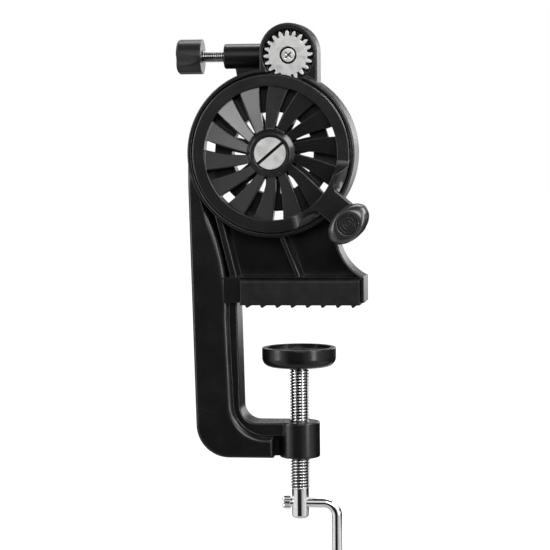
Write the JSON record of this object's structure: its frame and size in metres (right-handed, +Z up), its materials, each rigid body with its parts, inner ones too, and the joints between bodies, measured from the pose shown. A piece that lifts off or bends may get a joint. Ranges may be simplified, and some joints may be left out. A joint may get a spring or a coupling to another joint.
{
  "type": "fishing line winder",
  "caption": "Table-clamped line winder: a bladed hand wheel with a crank grip drives a spool spindle through a small gear, with a screw brake on the spindle.",
  "frame": {"origin": "on the clamp screw's axis, in the plane of the upper jaw's rib crests, half way through the frame", "axes": "+Z up, from the table clamp to the wheel; +X to the right seen from the hand wheel's side; -Y towards the hand wheel's front"},
  "size_m": [0.0987, 0.1046, 0.2848],
  "materials": {
    "frame_plastic": "moulded glass-filled nylon, satin black",
    "wheel_plastic": "moulded plastic, satin black",
    "grip_plastic": "moulded plastic, satin black",
    "pad_plastic": "moulded plastic, black",
    "rubber": "moulded black rubber",
    "shoe_rubber": "dark rubber",
    "gear_steel": "pale sintered steel",
    "coin_plated": "turned face, plated",
    "dark_screw": "bright steel",
    "steel": "ground steel",
    "chrome": "bright nickel plate",
    "insert_metal": "blackened steel",
    "bush_metal": "sintered bronze"
  },
  "bodies": {
    "stand": {"frame": "frame_plastic", "jaw_pad": "rubber", "tension_insert": "insert_metal", "clamp_insert": "insert_metal", "front_bush": "bush_metal", "rear_bush": "bush_metal", "wheel_axle": "steel", "wheel_washer": "steel", "coin_screw": "coin_plated"},
    "wheel": {"hand_wheel": "wheel_plastic", "wheel_bush": "bush_metal", "crank_pin": "steel"},
    "grip": {"crank_grip": "grip_plastic", "grip_cap": "grip_plastic"},
    "drive": {"spindle": "steel", "pinion": "gear_steel", "pinion_screw": "dark_screw", "spindle_collar": "steel", "inner_cone": "wheel_plastic"},
    "cone": {"outer_cone": "wheel_plastic"},
    "nut": {"spool_nut": "wheel_plastic"},
    "shoe": {"brake_shoe": "shoe_rubber"},
    "tension": {"tension_screw": "chrome", "tension_knob": "grip_plastic"},
    "pad": {"clamp_pad": "pad_plastic"},
    "screw": {"clamp_screw": "chrome", "pad_retainer": "steel"},
    "handle": {"clamp_handle": "chrome"}
  },
  "joints": [
    {"name": "wheel_spin", "type": "hinge", "parent": "stand", "child": "wheel", "pos_m": [-0.0118, 0, 0.0765], "axis": [0, 1, 0], "continuous": true},
    {"name": "grip_spin", "type": "hinge", "parent": "wheel", "child": "grip", "pos_m": [0.02886, 0, 0.0425], "axis": [0, 1, 0], "continuous": true},
    {"name": "spindle_spin", "type": "hinge", "parent": "stand", "child": "drive", "pos_m": [-0.00296, 0, 0.12465], "axis": [0, 1, 0], "continuous": true},
    {"name": "cone_slide", "type": "slide", "parent": "drive", "child": "cone", "axis": [0, 1, 0], "range_m": [-0.006, 0.009]},
    {"name": "nut_turn", "type": "hinge", "parent": "cone", "child": "nut", "pos_m": [-0.00296, 0, 0.12465], "axis": [0, 1, 0], "range_deg": [-1728.5, 2592.5]},
    {"name": "shoe_slide", "type": "slide", "parent": "stand", "child": "shoe", "axis": [1, 0, 0], "range_m": [-0.008, 0.0014]},
    {"name": "tension_turn", "type": "hinge", "parent": "shoe", "child": "tension", "pos_m": [0, 0.0021, 0.12465], "axis": [1, 0, 0], "range_deg": [-2880.5, 504.5]},
    {"name": "pad_slide", "type": "slide", "parent": "stand", "child": "pad", "axis": [0, 0, 1], "range_m": [-0.027, 0.019]},
    {"name": "clamp_turn", "type": "hinge", "parent": "pad", "child": "screw", "pos_m": [0, 0, 0], "axis": [0, 0, 1], "range_deg": [-6480.5, 4560.5]},
    {"name": "handle_swing", "type": "hinge", "parent": "screw", "child": "handle", "pos_m": [0, 0, -0.0992], "axis": [1, 0, 0], "continuous": true}
  ],
  "couplings": [
    {"joint": "spindle_spin", "follows": "wheel_spin", "ratio": -3.45},
    {"joint": "nut_turn", "follows": "cone_slide", "rad_per_m": 5026.5},
    {"joint": "tension_turn", "follows": "shoe_slide", "rad_per_m": 6283.2},
    {"joint": "clamp_turn", "follows": "pad_slide", "rad_per_m": 4188.8}
  ]
}
